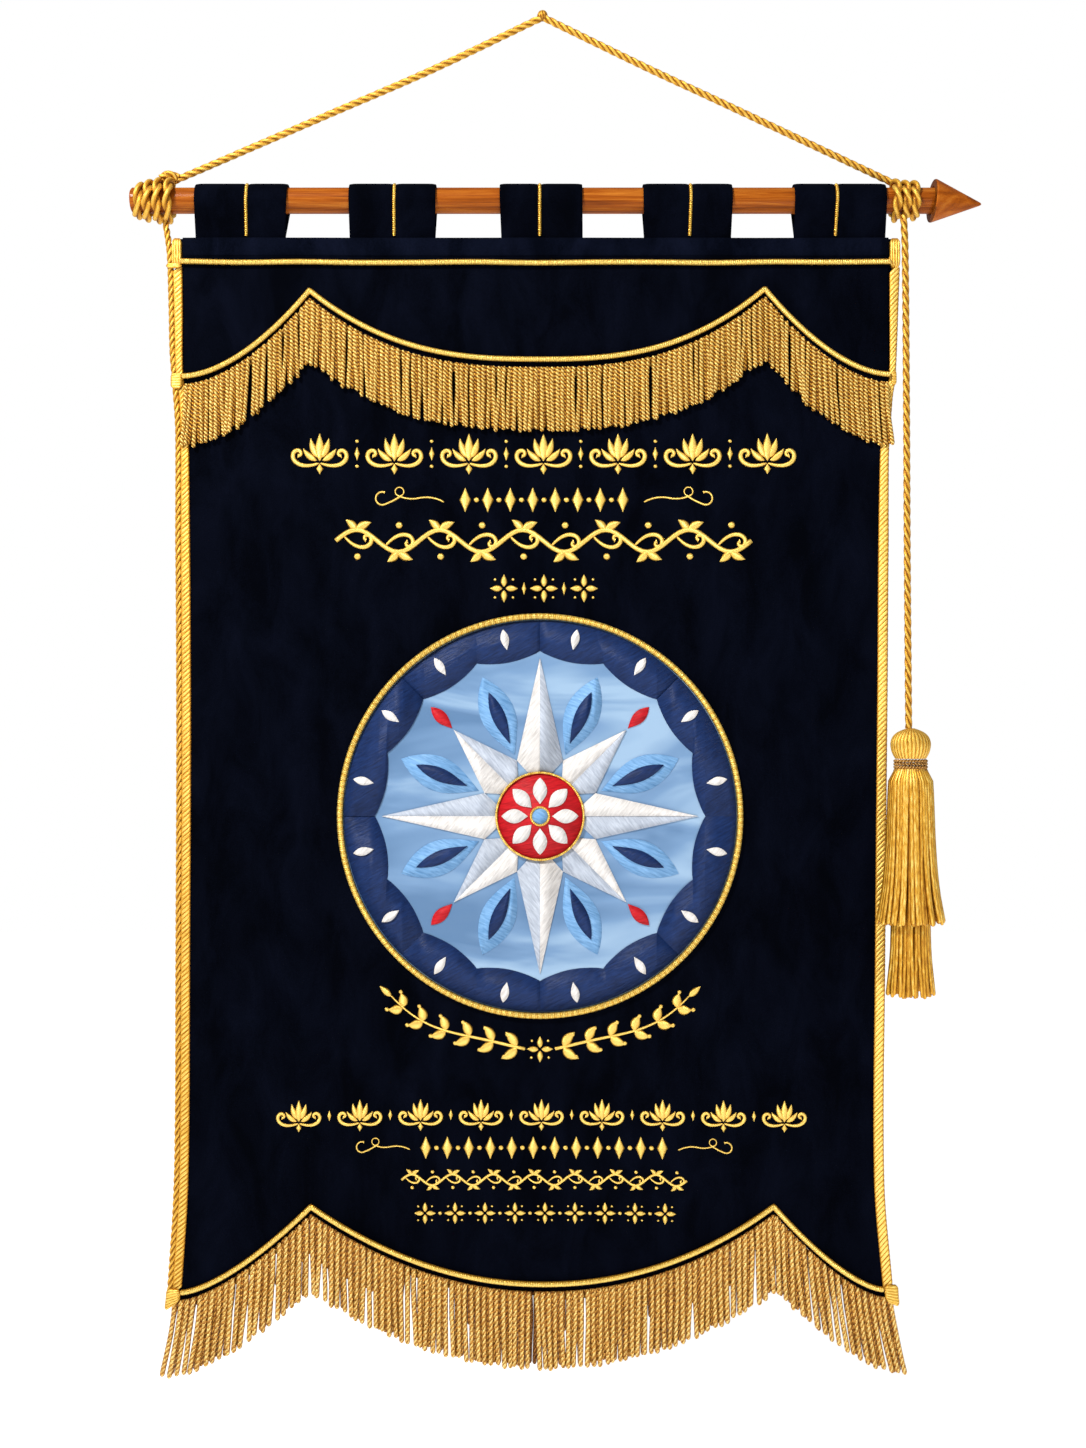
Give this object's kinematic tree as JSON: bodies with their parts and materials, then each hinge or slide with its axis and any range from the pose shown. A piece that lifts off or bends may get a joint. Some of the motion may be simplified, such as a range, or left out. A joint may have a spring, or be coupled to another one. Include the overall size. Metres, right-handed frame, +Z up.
{
  "type": "lodge banner on a rod",
  "caption": "Navy velvet processional banner with scalloped valance, gold fringes, braids and a round satin medallion, hung by tabs from a wooden rod with a cord and a tassel.",
  "frame": {"origin": "the point that the gold cord hangs from, at the middle of its knot", "axes": "+Z up, +X to the viewer's right along the rod towards the finial, the banner's front faces -Y"},
  "size_m": [0.8493, 0.0705, 1.3666],
  "materials": {
    "velvet": "navy silk velvet",
    "gold_trim": "twisted gold rayon",
    "wood": "varnished, turned",
    "satin": "light blue satin"
  },
  "bodies": {
    "root": {"panel": "velvet", "valance": "velvet", "tab_1": "velvet", "tab_2": "velvet", "tab_3": "velvet", "tab_4": "velvet", "tab_5": "velvet", "rod": "wood", "finial": "wood", "medallion_ground": "satin", "lashing_left": "gold_trim", "lashing_right": "gold_trim", "top_braid": "gold_trim", "edge_braid_left": "gold_trim", "edge_braid_right": "gold_trim", "edge_cord_left": "gold_trim", "valance_piping": "gold_trim", "bottom_piping": "gold_trim", "fringe_valance": "gold_trim", "fringe_bottom_left": "gold_trim", "fringe_bottom_right": "gold_trim", "tie_top_left": "gold_trim", "tie_valance_left": "gold_trim", "tie_valance_right": "gold_trim", "corner_wrap_left": "gold_trim", "corner_wrap_right": "gold_trim", "tab_piping_1": "gold_trim", "tab_piping_2": "gold_trim", "tab_piping_3": "gold_trim", "tab_piping_4": "gold_trim", "tab_piping_5": "gold_trim", "medallion_ring": "gold_trim", "hanger_cord_left": "gold_trim", "hanger_cord_right": "gold_trim", "hanger_knot": "gold_trim", "tassel_cord": "gold_trim", "tassel_head": "gold_trim", "tassel_band": "gold_trim", "tassel_skirt": "gold_trim", "tassel_underskirt": "gold_trim"}
  },
  "joints": []
}
